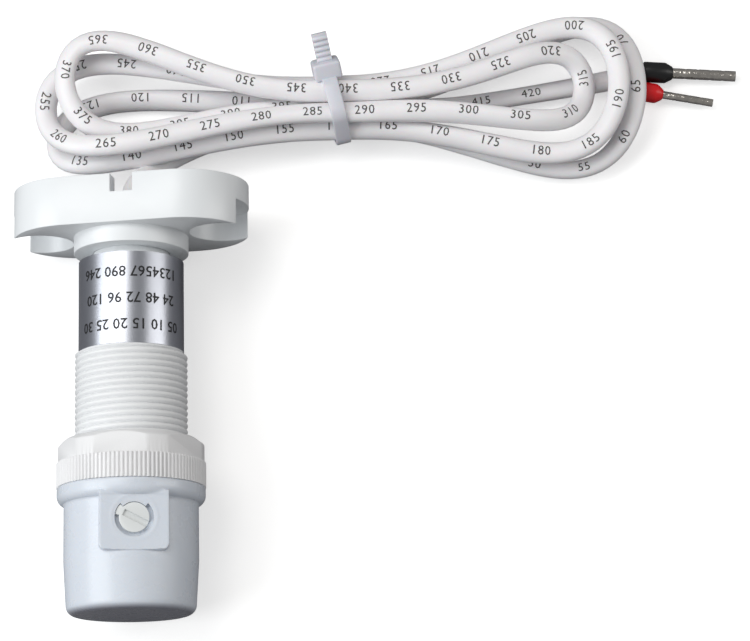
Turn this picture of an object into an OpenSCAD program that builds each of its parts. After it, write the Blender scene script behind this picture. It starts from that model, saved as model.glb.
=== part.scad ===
// Twilight sensor: an oval screw-on base, a threaded body with a lock nut,
// a milky sensing cap with a sensitivity dial, and a tied lead with two ferrules.
// The part lies on its side. The sensor's axis runs along Y, with the cap towards -Y.

/* [Base] */
// Width of the oval base, end to end
base_w = 38.4; // [36:0.2:44]
// Depth of the oval base, across its flat sides
base_d = 21; // [20:0.2:23]
// Thickness of the base along the sensor's axis
base_t = 8; // [7:0.2:10]
// Angle at which the base leans on the table
base_turn = 9.9; // [0:0.1:12]
// Distance from a screw hole's middle to the end of the base
screw_edge = 4.1; // [3.8:0.1:4.6]
// Diameter of a screw hole
screw_hole_d = 4.2; // [3.2:0.1:4.6]
// Diameter of the pocket for a screw head
screw_head_d = 10.6; // [9:0.1:10.8]
// Thickness of the seat under a screw head
screw_seat_t = 3.8; // [2.6:0.1:4.4]
// Width of the hollow at the back of the base
hollow_w = 16.8; // [16:0.2:18]
// Depth of the hollow across the base
hollow_d = 15; // [14.6:0.2:16]
// Thickness of the roof over the hollow
roof_t = 2; // [1.6:0.1:2.6]
// Width of the cable notch in the front wall
notch_w = 3.6; // [3:0.1:5]
// Height of the cable notch
notch_h = 3; // [2:0.1:4]
// How far the notch lies beside the middle of the wall
notch_shift = 1.1; // [0:0.1:2]
// Outer diameter of the collar round the neck
collar_d = 18.4; // [17:0.2:19]
// Height of the collar above the base
collar_h = 2.8; // [2:0.1:4]

/* [Body] */
// Distance from the mounting face to the end of the cap
total_len = 68.9; // [66:0.1:74]
// Gap between the collar and the body
neck_gap = 1.4; // [1:0.1:2]
// Diameter of the neck that turns in the collar
neck_d = 12.2; // [11:0.1:13]
// Outer diameter of the thread
thread_d = 17.9; // [17.8:0.05:18]
// Pitch of the thread
thread_pitch = 1; // [1:0.25:1.5]
// How far the plain part of the body stands back from the thread's crests
body_step = 0.65; // [0.6:0.05:0.8]
// Thickness of the body's wall
body_wall = 1; // [0.8:0.1:1.2]
// Length of the plain part under the label
label_len = 15; // [12:0.5:18]
// Thickness of the foil label
label_t = 0.1; // [0.05:0.05:0.2]

/* [Lock nut] */
// Height of the nut's six-sided part
nut_hex_h = 3.7; // [3:0.05:4.2]
// Height of the nut's ribbed flange
nut_flange_h = 3.9; // [3:0.1:5]
// Thickness of the ribbed flange, from the thread's crests to its ribs
nut_wall = 2.85; // [2.6:0.05:3.1]
// How far the nut's flats stand back from its flange
flats_step = 1; // [0.8:0.05:1.2]
// How far the nut's turned corners stand back from its flange
corner_step = 0.25; // [0.2:0.05:0.4]
// Number of ribs on the flange
nut_ribs = 108; // [72:4:120]

/* [Cap] */
// Length of the cap, from its open end to its flat end
cap_len = 20; // [19:0.1:20.6]
// How far the cap's collar stands back from the nut's flange
collar_step = 0.1; // [0.05:0.05:0.4]
// Height of the cap's collar
cap_collar_h = 2.8; // [2.6:0.05:4]
// Thickness of the cap round the thread
cap_side = 1.6; // [1.4:0.05:1.8]
// How much narrower in radius the cap is at its flat end
cap_taper = 0.4; // [0.1:0.05:0.5]
// Thickness of the cap's wall
cap_wall = 1.5; // [1.2:0.1:1.6]
// Angle of the cap and its dial round the axis
head_turn = -7.6; // [-20:0.1:20]
// Width of the flat pad round the dial
pad_w = 10.7; // [9:0.1:11]
// Length of the pad, from the cap's collar
pad_len = 8.45; // [8:0.05:9]
// Height of the pad's face above the cap's round side
pad_rise = 0.15; // [0.1:0.05:0.6]

/* [Dial] */
// Diameter of the dial
dial_d = 4.7; // [4:0.1:5]
// Diameter of the round recess for the dial
dial_hole_d = 6.04; // [5.8:0.02:6.2]
// Width of the screwdriver slot
dial_slot_w = 1; // [0.6:0.1:1.2]
// Angle that the fixed stop takes from the recess
stop_angle = 90; // [60:5:110]
// Angle that the dial's pointer takes
pointer_angle = 36; // [24:2:44]

/* [Lead] */
// Diameter of the sleeved lead
cord_d = 3.2; // [3:0.1:3.2]
// Width of the cable tie
tie_w = 2.5; // [2:0.1:3]
// Thickness of the tie's strap
tie_t = 0.9; // [0.8:0.1:1.2]

/* [Hidden] */
$fn = 96;

// Clearances shared by the pieces that fit each other
run_gap = 0.05;
seat_gap = 0.02;
over = 0.5;

// Places along the axis, from the mounting face
cap_start = total_len - cap_len;
collar_top = base_t + collar_h;
body_start = collar_top + neck_gap;
label_end = body_start + label_len;
cap_collar_end = cap_start + cap_collar_h;
nut_end = cap_start;
nut_mid = nut_end - nut_flange_h;
nut_start = nut_mid - nut_hex_h;
body_in_cap = 2.6;
body_end = cap_start + body_in_cap;
dial_drop = 3.4;
dial_z = cap_collar_end + dial_drop;

// Radii
base_end_r = base_d / 2;
base_end_x = base_w / 2 - base_end_r;
thread_r = thread_d / 2;
thread_depth = 0.55;
thread_root_r = thread_r - thread_depth;
body_r = thread_r - body_step;
bore_r = body_r - body_wall;
neck_r = neck_d / 2;
cap_bore_r = thread_r + run_gap;
nut_flange_r = thread_r + nut_wall;
cap_collar_r = nut_flange_r - collar_step;

// Height of the axis over the table, which the low end of the base touches
axis_h = max(nut_flange_r, base_end_r + base_end_x * sin(base_turn));
mount_y = total_len / 2;

white = [0.90, 0.91, 0.92];
milky = [0.80, 0.84, 0.90];
silver = [0.72, 0.73, 0.75];
rubber = [0.12, 0.12, 0.13];
board_green = [0.10, 0.36, 0.20];
tin = [0.80, 0.80, 0.82];

// The sensor's own frame has its axis along Z, from the mounting face towards the cap
module lay() {
    translate([0, mount_y, axis_h]) rotate([90, 0, 0]) children();
}

module lay_base() {
    lay() rotate([0, 0, base_turn]) children();
}

module lay_head() {
    lay() rotate([0, 0, head_turn]) children();
}

module ring(outer_r, inner_r, height) {
    difference() {
        cylinder(r = outer_r, h = height);
        translate([0, 0, -over]) cylinder(r = inner_r, h = height + 2 * over);
    }
}

// A rubber ring of round section
module seal_ring(mean_r, section_r) {
    rotate_extrude() translate([mean_r, 0]) circle(r = section_r, $fn = 32);
}

// A rectangle with rounded corners, centred
module round_rect(size, corner) {
    union() {
        square([size[0] - 2 * corner, size[1]], center = true);
        square([size[0], size[1] - 2 * corner], center = true);
        for (x = [-1, 1], y = [-1, 1])
            translate([x * (size[0] / 2 - corner), y * (size[1] / 2 - corner)]) circle(r = corner, $fn = 48);
    }
}

// Base

hollow_corner = 2.5;
screw_pitch = base_w - 2 * screw_edge;
pocket_gap = 0.25;

module base_outline() {
    union() {
        square([2 * base_end_x, base_d], center = true);
        for (side = [-1, 1]) translate([side * base_end_x, 0]) circle(r = base_end_r);
    }
}

module mounting_base() {
    color(white) lay_base() difference() {
        union() {
            linear_extrude(base_t) base_outline();
            translate([0, 0, base_t - seat_gap]) cylinder(d = collar_d, h = collar_h + seat_gap);
        }
        translate([0, 0, -over]) cylinder(r = neck_r + run_gap, h = collar_top + 2 * over);
        translate([0, 0, -over])
            linear_extrude(base_t - roof_t + over) round_rect([hollow_w, hollow_d], hollow_corner);
        for (side = [-1, 1]) translate([side * screw_pitch / 2, 0, 0]) {
            translate([0, 0, -over]) cylinder(d = screw_hole_d, h = base_t + 2 * over);
            translate([0, 0, screw_seat_t]) difference() {
                cylinder(d = screw_head_d, h = base_t);
                translate([-side * screw_pitch / 2, 0, -over])
                    cylinder(r = collar_d / 2 + pocket_gap, h = base_t + 2 * over);
            }
        }
        translate([notch_shift - notch_w / 2, 0, -over]) cube([notch_w, base_d, notch_h + over]);
    }
}

// Neck and plug that close the body's rear end and turn in the base

neck_start = 3.6;
ring_t = 0.8;
ring_drop = 0.1;
ring_z = base_t - roof_t - ring_t - ring_drop;
ring_reach = 0.9;
ring_r = neck_r + ring_reach;
groove_deep = 0.8;
groove_r = neck_r - groove_deep;
plug_len = 4;
plug_r = bore_r - seat_gap;
grommet_wall = 1.6;
cord_r = cord_d / 2;
grommet_r = cord_r + grommet_wall;
ring_opening = 60;

module rear_plug() {
    color(white) lay_head() difference() {
        union() {
            translate([0, 0, neck_start]) cylinder(r = neck_r, h = body_start - neck_start);
            translate([0, 0, body_start]) cylinder(r = plug_r, h = plug_len);
        }
        translate([0, 0, neck_start - over])
            cylinder(r = grommet_r, h = body_start + plug_len - neck_start + 2 * over);
        translate([0, 0, ring_z - seat_gap]) ring(neck_r + over, groove_r, ring_t + 2 * seat_gap);
    }
}

// Open ring in the neck's groove, which keeps the neck in the collar
module retaining_ring() {
    color(silver) lay_head() translate([0, 0, ring_z])
        rotate_extrude(angle = 360 - ring_opening) translate([groove_r + seat_gap, 0])
            square([ring_r - groove_r - seat_gap, ring_t]);
}

grommet_bead = 0.8;
grommet_lip = 1.2;
grommet_bead_r = grommet_r + grommet_lip;
grommet_end = body_start - grommet_bead;

module cable_grommet() {
    color(rubber) lay_head() difference() {
        union() {
            translate([0, 0, neck_start]) cylinder(r = grommet_r - seat_gap, h = grommet_end - neck_start);
            translate([0, 0, neck_start - grommet_bead]) cylinder(r = grommet_bead_r, h = grommet_bead);
        }
        translate([0, 0, neck_start - grommet_bead - over])
            cylinder(r = cord_r + run_gap, h = grommet_end);
        translate([0, 0, neck_start]) cylinder(r = cord_r + run_gap, h = grommet_end);
    }
}

// Threaded body

thread_run_in = 0.7;
thread_start = label_end + thread_run_in;
seal_section_r = 0.55;
seal_in = 1.2;
seal_z = body_end - seal_in;
thread_turns = floor((seal_z - seal_section_r - seat_gap - thread_start) / thread_pitch);
seal_mean_r = cap_bore_r - seal_section_r - seat_gap;

// Outline of one ridge, as shares of the pitch and of the thread's depth
thread_shares = [[0, 0], [0.3, 1], [0.5, 1], [0.8, 0]];
function thread_points() = [
    for (i = [0 : thread_turns - 1], p = thread_shares)
        [thread_root_r + p[1] * thread_depth, thread_start + (i + p[0]) * thread_pitch]
];

module body_tube() {
    color(white) lay_head() difference() {
        rotate_extrude() polygon(concat(
            [[bore_r, body_start], [body_r, body_start], [body_r, thread_start - over],
                [thread_root_r, thread_start - over]],
            thread_points(),
            [[thread_root_r, body_end], [bore_r, body_end]]));
        translate([0, 0, seal_z]) seal_ring(seal_mean_r, seal_section_r + seat_gap);
    }
}

module rating_label() {
    color(silver) lay_head() translate([0, 0, body_start + label_t])
        ring(body_r + label_t, body_r, label_len - 2 * label_t);
}

module cap_seal() {
    color(rubber) lay_head() translate([0, 0, seal_z]) seal_ring(seal_mean_r, seal_section_r);
}

// Lock nut

nut_turn = 4;
nut_flats_r = nut_flange_r - flats_step;
nut_corner_r = nut_flange_r - corner_step;
nut_bevel = 0.9;
rib_depth = 0.28;
gasket_step = 0.9;
gasket_play = 0.65;
gasket_inner_r = thread_r + gasket_play;
gasket_outer_r = nut_flange_r - gasket_step;
gasket_t = 0.8;

// Outline of one rib on the nut's flange, as shares of its pitch and of its depth
rib_shares = [[0, 0], [0.18, 1], [0.5, 1], [0.68, 0]];
function rib_points() = [
    for (i = [0 : nut_ribs - 1], p = rib_shares)
        let (a = (i + p[0]) * 360 / nut_ribs, r = nut_flange_r - (1 - p[1]) * rib_depth)
        [r * cos(a), r * sin(a)]
];

module lock_nut() {
    color(white) lay() rotate([0, 0, nut_turn]) difference() {
        union() {
            intersection() {
                translate([0, 0, nut_start])
                    cylinder(r = nut_flats_r / cos(30), h = nut_hex_h + seat_gap, $fn = 6);
                rotate_extrude() polygon([
                    [0, nut_start], [nut_flats_r - nut_bevel / 2, nut_start],
                    [nut_corner_r, nut_start + nut_bevel],
                    [nut_corner_r, nut_mid + seat_gap], [0, nut_mid + seat_gap]]);
            }
            translate([0, 0, nut_mid]) linear_extrude(nut_flange_h) polygon(rib_points());
        }
        translate([0, 0, nut_start - over])
            cylinder(r = thread_r + run_gap, h = nut_end - nut_start + 2 * over);
        translate([0, 0, nut_end - gasket_t - run_gap])
            ring(gasket_outer_r + run_gap, gasket_inner_r - run_gap, gasket_t + run_gap + over);
    }
}

module panel_gasket() {
    color(rubber) lay() translate([0, 0, nut_end - gasket_t])
        ring(gasket_outer_r, gasket_inner_r, gasket_t - run_gap);
}

// Cap

shoulder_r = 1.5;
shoulder_sweep = 80;
end_edge_r = 1.4;
collar_edge_r = 0.4;
cap_r = cap_bore_r + cap_side;
cap_end_r = cap_r - cap_taper;
pad_h = cap_r + pad_rise;
pad_corner = 1;
recess_deep = 0.8;
stem_r = 1.2;
stop_r = dial_d / 2 + run_gap;
dial_seal_section_r = 0.25;
dial_seal_r = stem_r + dial_seal_section_r + seat_gap;
dial_seal_deep = 0.55;
arc_steps = 8;

// Points on a quarter circle, from one angle to another
function arc_points(centre, r, from, to) = [
    for (i = [0 : arc_steps])
        let (a = from + (to - from) * i / arc_steps)
        [centre[0] + r * cos(a), centre[1] + r * sin(a)]
];

// The dial's frame has its Z out of the pad, its X to the right and its Y towards the base
module at_dial() {
    lay_head() translate([0, pad_h, dial_z]) rotate([-90, 0, 0]) children();
}

module sector(r, from, to) {
    polygon(concat([[0, 0]], arc_points([0, 0], r, from, to)));
}

module cap_shell() {
    rotate_extrude() polygon(concat(
        [[cap_bore_r, cap_start], [cap_collar_r - collar_edge_r, cap_start]],
        [[cap_collar_r, cap_start + collar_edge_r]],
        arc_points([cap_collar_r - shoulder_r, cap_collar_end - shoulder_r], shoulder_r, 0, shoulder_sweep),
        [[cap_r, cap_collar_end]],
        arc_points([cap_end_r - end_edge_r, total_len - end_edge_r], end_edge_r, 0, 90),
        [[0, total_len], [0, total_len - cap_wall], [cap_end_r - cap_wall, total_len - cap_wall],
            [cap_bore_r, body_end + over]]));
}

module sensor_cap() {
    color(milky) difference() {
        union() {
            lay_head() cap_shell();
            lay_head() translate([0, cap_bore_r - over, cap_collar_end - shoulder_r])
                rotate([-90, 0, 0]) linear_extrude(pad_h - cap_bore_r + over)
                    translate([0, -(pad_len + shoulder_r) / 2])
                        round_rect([pad_w, pad_len + shoulder_r], pad_corner);
        }
        lay_head() translate([0, 0, cap_start - over])
            cylinder(r = cap_bore_r, h = body_end - cap_start + over);
        lay_head() translate([0, 0, cap_start])
            cylinder(r = cap_end_r - cap_wall, h = total_len - cap_wall - cap_start);
        at_dial() translate([0, 0, -recess_deep]) linear_extrude(recess_deep + over) union() {
            circle(r = stop_r);
            difference() {
                circle(d = dial_hole_d);
                sector(dial_hole_d, 90 - stop_angle / 2, 90 + stop_angle / 2);
            }
        }
        at_dial() translate([0, 0, -pad_h + over]) cylinder(r = stem_r + run_gap, h = pad_h);
        at_dial() translate([0, 0, -recess_deep - dial_seal_deep])
            cylinder(r = dial_seal_r + dial_seal_section_r + seat_gap, h = dial_seal_deep + over);
    }
}

// Dial and the trimmer under it

dial_sink = 0.15;
dial_t = recess_deep - dial_sink - run_gap;
slot_deep = 0.4;
slot_end = 1.8;
pointer_start = 90 + stop_angle / 2;
pointer_mid = pointer_start + pointer_angle / 2;
stop_play = 1;
trimmer_side = 6;
trimmer_h = 3.2;
board_y = 1.2;
board_t = 1;
trimmer_top = board_y + board_t / 2 + trimmer_h;
rotor_r = 1.9;
rotor_deep = 1.2;
rotor_rise = 0.4;

module adjuster_dial() {
    color(white) at_dial() difference() {
        union() {
            translate([0, 0, -dial_sink - dial_t]) cylinder(d = dial_d, h = dial_t);
            translate([0, 0, -dial_sink - dial_t]) linear_extrude(dial_t) intersection() {
                circle(r = dial_hole_d / 2 - run_gap);
                sector(dial_hole_d, pointer_start + stop_play, pointer_start + pointer_angle);
            }
            translate([0, 0, trimmer_top + rotor_rise - pad_h])
                cylinder(r = stem_r, h = pad_h - trimmer_top - rotor_rise - dial_sink - slot_deep);
        }
        translate([0, 0, -dial_sink - slot_deep]) rotate([0, 0, pointer_mid])
            translate([-dial_d, -dial_slot_w / 2, 0])
                cube([dial_d + slot_end, dial_slot_w, slot_deep + over]);
    }
}

module dial_seal() {
    color(rubber) at_dial() translate([0, 0, -recess_deep - dial_seal_section_r - seat_gap])
        seal_ring(dial_seal_r, dial_seal_section_r);
}

module trimmer_body() {
    color([0.15, 0.25, 0.55]) lay_head() translate([0, board_y + board_t / 2, dial_z])
        rotate([-90, 0, 0]) difference() {
            translate([-trimmer_side / 2, -trimmer_side / 2, 0])
                cube([trimmer_side, trimmer_side, trimmer_h]);
            translate([0, 0, trimmer_h - rotor_deep]) cylinder(r = rotor_r + run_gap, h = rotor_deep + over);
        }
}

module trimmer_rotor() {
    color([0.85, 0.82, 0.70]) lay_head() translate([0, trimmer_top - rotor_deep + run_gap, dial_z])
        rotate([-90, 0, 0]) cylinder(r = rotor_r, h = rotor_deep + rotor_rise - run_gap);
}

// Circuit board and what is on it

board_room = 1.1;
board_w = 2 * (bore_r - board_room);
board_start = 26;
diode_room = 5.2;
board_end = total_len - cap_wall - diode_room;
holder_len = 5;
holder_z = body_end - holder_len;
holder_wall = 1.2;
diode_r = 2.5;
diode_len = 2;
diode_lift = 0.6;
chip_size = [4, 1.5, 5];
chip_z = 33;
can_r = 2;
can_len = 5.4;
can_z = 41;
resistor_size = [1.2, 0.5, 2];
resistor_x = 4.6;
resistor_z = [30, 34, 38];
transistor_size = [3.5, 1.5, 4];
transistor_z = 27.5;
terminal_size = [7, 3, 4];

module on_board(x, z) {
    lay_head() translate([x, board_y + board_t / 2, z]) children();
}

module circuit_board() {
    color(board_green) lay_head()
        translate([-board_w / 2, board_y - board_t / 2, board_start])
            cube([board_w, board_t, board_end - board_start]);
}

module board_holder() {
    color([0.2, 0.2, 0.22]) lay_head() difference() {
        translate([0, 0, holder_z]) ring(bore_r - seat_gap, bore_r - holder_wall, holder_len);
        translate([-board_w / 2 - seat_gap, board_y - board_t / 2 - seat_gap, holder_z - over])
            cube([board_w + 2 * seat_gap, board_t + 2 * seat_gap, holder_len + 2 * over]);
    }
}

// Light sensor with a round nose, facing the flat end of the cap
module photodiode() {
    color([0.75, 0.8, 0.9]) lay_head() translate([0, board_y, board_end + diode_lift]) {
        cylinder(r = diode_r, h = diode_len);
        translate([0, 0, diode_len]) intersection() {
            sphere(r = diode_r);
            translate([-diode_r, -diode_r, -seat_gap]) cube(2 * diode_r);
        }
        for (side = [-1, 1]) translate([side * diode_r / 2, 0, -diode_lift])
            cylinder(r = board_t / 4, h = diode_lift + seat_gap, $fn = 24);
    }
}

module control_chip() {
    color(rubber) on_board(-chip_size[0] / 2, chip_z) cube(chip_size);
}

module smoothing_capacitor() {
    color([0.55, 0.56, 0.58]) on_board(0, can_z)
        translate([0, -board_t - can_r, 0]) cylinder(r = can_r, h = can_len);
}

module chip_resistors() {
    color(rubber) for (side = [-1, 1], z = resistor_z)
        on_board(side * resistor_x - resistor_size[0] / 2, z) cube(resistor_size);
}

module switching_transistor() {
    color(rubber) on_board(-transistor_size[0] / 2, transistor_z) cube(transistor_size);
}

module wire_terminal() {
    color(white) lay_head()
        translate([-terminal_size[0] / 2, board_y - board_t / 2 - terminal_size[1], board_start])
            cube(terminal_size);
}

wire_r = 0.6;
wire_pitch = 1.4;
lead_in = 9;
wires_start = lead_in + wire_r / 2;
spread_share = 0.7;

// The two cores inside the body, from the end of the lead to the terminal
module inner_wires() {
    wire_y = board_y - board_t / 2 - terminal_size[1] / 2;
    for (side = [-1, 1]) color(side < 0 ? rubber : [0.7, 0.08, 0.08]) lay_head()
        tube_along([
            [side * wire_pitch / 2, 0, wires_start], [side * wire_pitch / 2, 0, body_start],
            [side * wire_pitch * spread_share, 0, body_start + plug_len],
            [side * wire_pitch, wire_y / 2, board_start - plug_len],
            [side * wire_pitch, wire_y, board_start - wire_pitch], [side * wire_pitch, wire_y, board_start]],
            wire_r, 8, [1, 0, 0]);
}

// Tube swept along a path

function unit(v) = v / norm(v);

function path_direction(path, i) =
    i == 0 ? unit(path[1] - path[0])
    : i == len(path) - 1 ? unit(path[i] - path[i - 1])
    : unit(unit(path[i + 1] - path[i]) + unit(path[i] - path[i - 1]));

// One ring of points round each point of the path, square to it, with a corner at the bottom
function tube_rings(path, r, sides, side_way) = [
    for (i = [0 : len(path) - 1])
        let (along = path_direction(path, i))
        let (level = side_way == undef ? cross([0, 0, 1], along) : cross(cross(along, side_way), along))
        let (across = unit(level))
        let (up = cross(along, across))
        for (k = [0 : sides - 1])
            let (a = 360 * k / sides - 90)
            path[i] + r * (cos(a) * across + sin(a) * up)
];

function tube_faces(count, sides) = concat(
    [[for (k = [0 : sides - 1]) k]],
    [for (i = [0 : count - 2], k = [0 : sides - 1])
        let (a = i * sides + k, b = i * sides + (k + 1) % sides)
        [a, a + sides, b]],
    [for (i = [0 : count - 2], k = [0 : sides - 1])
        let (a = i * sides + k, b = i * sides + (k + 1) % sides)
        [b, a + sides, b + sides]],
    [[for (k = [sides - 1 : -1 : 0]) (count - 1) * sides + k]]);

module tube_along(path, r, sides, side_way) {
    polyhedron(tube_rings(path, r, sides, side_way), tube_faces(len(path), sides), convexity = 10);
}

// Tied hank: seven strands through the tie, three loops on each side of it

tie_at = [33.2, 49.7];
strand_gap = 0.5;
strand_pitch = cord_d + strand_gap;
strand_row = strand_pitch * sqrt(3) / 2;
tie_inner_r = strand_pitch + cord_r + run_gap;
tie_outer_r = tie_inner_r + tie_t;
waist_half = 2;
loop_rings = 24;

// Where each strand passes through the tie, as steps across and rows up from the middle one
strand_places = [[-0.5, -1], [0.5, -1], [-1, 0], [1, 0], [-0.5, 1], [0.5, 1], [0, 0]];

// Each half loop: its side, reach, rise, half width, pinch, and heights at three places along it
half_loops = [
    [1, 50, 3.4, 11.3, 2.0, 1.6, 5.4, 1.6],
    [-1, 46.5, -2.9, 4.2, 2.0, 1.6, 1.6, 7.0],
    [1, 47, 3.4, 8.6, 2.2, 6.4, 8.4, 6.4],
    [-1, 48, 0.1, 6.3, 2.0, 4.8, 5.4, 10.6],
    [1, 41.5, 3, 4.9, 3.0, 9.4, 5.4, 9.4],
    [-1, 44.5, 4.2, 7.0, 2.2, 9.6, 9.0, 6.6]
];

function strand_at(i) = [
    tie_at[1] + strand_places[i][0] * strand_pitch,
    tie_outer_r + strand_places[i][1] * strand_row
];

function ease(t) = (1 - cos(180 * t)) / 2;

function eased_height(h, t) =
    let (k = min(floor(t * 4), 3))
    h[k] + (h[k + 1] - h[k]) * ease(t * 4 - k);

// Widest value of sin(a) * cos(a) ^ pinch, which is where tan(a) ^ 2 is one over the pinch
function widest(pinch) = let (a = atan(sqrt(1 / pinch))) sin(a) * pow(cos(a), pinch);

function half_loop_points(i) =
    let (l = half_loops[i], from = strand_at(i), to = strand_at(i + 1), count = loop_rings / 2)
    [for (j = [0 : count])
        let (t = j / count, a = 180 * (t - 0.5), reach = (j == 0 || j == count) ? 0 : cos(a))
        [tie_at[0] + l[0] * (waist_half + (l[1] - waist_half) * reach),
            from[0] + (to[0] - from[0]) * ease(t) + l[2] * pow(reach, 2)
                + l[0] * l[3] / widest(l[4]) * sin(a) * pow(reach, l[4]),
            eased_height([from[1], l[5], l[6], l[7], to[1]], t)]];

function hank_end(side, i, run) = [tie_at[0] + side * (waist_half + run), strand_at(i)[0], strand_at(i)[1]];

hank_path = concat(
    [hank_end(-1, 0, cord_d), hank_end(-1, 0, 0)],
    [for (i = [0 : len(half_loops) - 1]) each half_loop_points(i)],
    [hank_end(1, len(half_loops), cord_d)]);

// Least distance between two straight pieces of the path
function clamp(v) = min(max(v, 0), 1);
function stretch_gap(a, b, c, d) =
    let (u = b - a, v = d - c, w = a - c, uu = u * u, uv = u * v, vv = v * v, uw = u * w, vw = v * w,
        den = uu * vv - uv * uv,
        s0 = den < 0.000001 ? 0 : clamp((uv * vw - vv * uw) / den),
        t = clamp((uv * s0 + vw) / vv),
        s = clamp((uv * t - uw) / uu))
    norm(w + s * u - t * v);
near_rings = 3;
hank_gap = min([
    for (i = [0 : len(hank_path) - 2])
        for (j = [i + near_rings + 1 : 1 : len(hank_path) - 2])
            stretch_gap(hank_path[i], hank_path[i + 1], hank_path[j], hank_path[j + 1])
]) - cord_d;
function path_length(path) =
    len(path) < 2 ? 0 : [for (i = [1 : len(path) - 1]) norm(path[i] - path[i - 1])]
        * [for (i = [1 : len(path) - 1]) 1];
echo(str("least gap of the hank to itself, mm: ", hank_gap));
echo(str("length of the hank's tube, mm: ", path_length(hank_path)));

// Route of the free lead from the neck to the hank, and from the hank to its cut end
lead_path = [[0, mount_y - lead_in, axis_h], [0, 32, axis_h], [0.4, 35, 10.6], [1.5, 37.6, 7.6],
    [3.2, 40, 4.6], [5.8, 42.6, 2.6], [10.7, 45.2, 1.7], [16.8, 47.2, 1.7], [21, 47.7, 2.4],
    hank_end(-1, 0, 2 * cord_d), hank_path[0]];
tail_path = [hank_path[len(hank_path) - 1], hank_end(1, len(half_loops), 2 * cord_d), [46.4, 49.8, 4.4],
    [51, 50.5, 2.6], [56, 51.3, 1.7], [62.7, 52.3, 1.6], [70, 53.4, 1.6], [75.5, 54.3, 1.6], [79.4, 55, 1.6]];
echo(str("length of the lead and the tail, mm: ", path_length(lead_path), " ", path_length(tail_path)));

module cord_lead() {
    color(white) tube_along(lead_path, cord_r, 8);
}

module cord_hank() {
    color(white) tube_along(hank_path, cord_r, 6);
}

module cord_tail() {
    color(white) tube_along(tail_path, cord_r, 8);
}

// Cable tie

tie_head_size = [4.6, 3, 4.2];
tie_head_turn = 35;
tie_tail_len = 6.5;
tie_corner = 0.5;

// The head sits on the strap, and the cut end of the strap stands out of it
module cable_tie() {
    color([0.88, 0.88, 0.86]) translate([tie_at[0], tie_at[1], tie_outer_r]) {
        translate([-tie_w / 2, 0, 0]) rotate([90, 0, 90]) ring(tie_outer_r, tie_inner_r, tie_w);
        rotate([tie_head_turn, 0, 0]) {
            translate([0, tie_inner_r + tie_head_size[1] / 2 + seat_gap, 0])
                rotate([90, 0, 0]) translate([0, 0, -tie_head_size[1] / 2])
                    linear_extrude(tie_head_size[1])
                        round_rect([tie_head_size[0], tie_head_size[2]], tie_corner);
            translate([-tie_w / 2, tie_inner_r + tie_head_size[1] - over, -tie_t / 2])
                cube([tie_w, tie_tail_len, tie_t]);
        }
    }
}

// Cut end: two cores, each in a ferrule

core_r = 0.8;
core_pitch = 1.85;
core_run = 2.4;
ferrule_black_at = [85, 56.35, 1.75];
ferrule_black_turn = -4.2;
ferrule_red_at = [82.8, 53.3, 1.75];
ferrule_red_turn = -11.2;
ferrule_black = [1.73, 3.7, 1.3, 0.88, 10.5];
ferrule_red = [1.64, 4.3, 1.2, 0.65, 8.4];
tail_end = tail_path[len(tail_path) - 1];

function core_path(side, at, turn) =
    let (way = unit(tail_end - tail_path[len(tail_path) - 2]))
    let (off = side * core_pitch / 2 * [-way[1], way[0], 0])
    [tail_end + off, tail_end + off + core_r * way,
        at - core_run * [cos(turn), sin(turn), 0], at];

module wire_black() {
    color(rubber) tube_along(core_path(1, ferrule_black_at, ferrule_black_turn), core_r, 8);
}

module wire_red() {
    color([0.7, 0.08, 0.08]) tube_along(core_path(-1, ferrule_red_at, ferrule_red_turn), core_r, 8);
}

// Funnel of a ferrule: radius, length, length of its taper, radius and length of its pin
funnel_lip = 0.15;
crimp_pitch = 2.1;
crimp_r_share = 0.7;
crimp_out_share = 1.5;

module ferrule_sleeve(size) {
    rotate_extrude() polygon([[0, 0], [size[0], 0], [size[0], size[1]],
        [size[3] + funnel_lip, size[1] + size[2]], [0, size[1] + size[2]]]);
}

module ferrule_pin(size) {
    translate([0, 0, size[1] + size[2]]) difference() {
        cylinder(r = size[3], h = size[4]);
        for (i = [1 : floor(size[4] / crimp_pitch) - 1], side = [-1, 1])
            translate([-size[3], side * size[3] * crimp_out_share, i * crimp_pitch]) rotate([0, 90, 0])
                cylinder(r = size[3] * crimp_r_share, h = 2 * size[3], $fn = 32);
    }
}

module at_ferrule(at, turn) {
    translate(at) rotate([0, 90, turn]) children();
}

module ferrule_sleeve_black() {
    color(rubber) at_ferrule(ferrule_black_at, ferrule_black_turn) ferrule_sleeve(ferrule_black);
}

module ferrule_sleeve_red() {
    color([0.75, 0.08, 0.08]) at_ferrule(ferrule_red_at, ferrule_red_turn) ferrule_sleeve(ferrule_red);
}

module ferrule_pin_black() {
    color(tin) at_ferrule(ferrule_black_at, ferrule_black_turn) ferrule_pin(ferrule_black);
}

module ferrule_pin_red() {
    color(tin) at_ferrule(ferrule_red_at, ferrule_red_turn) ferrule_pin(ferrule_red);
}

mounting_base();
rear_plug();
retaining_ring();
cable_grommet();
body_tube();
rating_label();
lock_nut();
panel_gasket();
sensor_cap();
cap_seal();
adjuster_dial();
dial_seal();
trimmer_body();
trimmer_rotor();
circuit_board();
board_holder();
photodiode();
control_chip();
smoothing_capacitor();
chip_resistors();
switching_transistor();
wire_terminal();
inner_wires();
cord_lead();
cord_hank();
cord_tail();
cable_tie();
wire_black();
wire_red();
ferrule_sleeve_black();
ferrule_sleeve_red();
ferrule_pin_black();
ferrule_pin_red();
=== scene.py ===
# %% [markdown]
# # A twilight sensor, dressed for its picture
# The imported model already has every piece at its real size. This script gives the pieces their finish,
# and models again what the construction draws plainly: the lead, the thread, the soft edges and the prints.

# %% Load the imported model
import math

import bmesh
import bpy
from mathutils import Matrix, Vector


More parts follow.
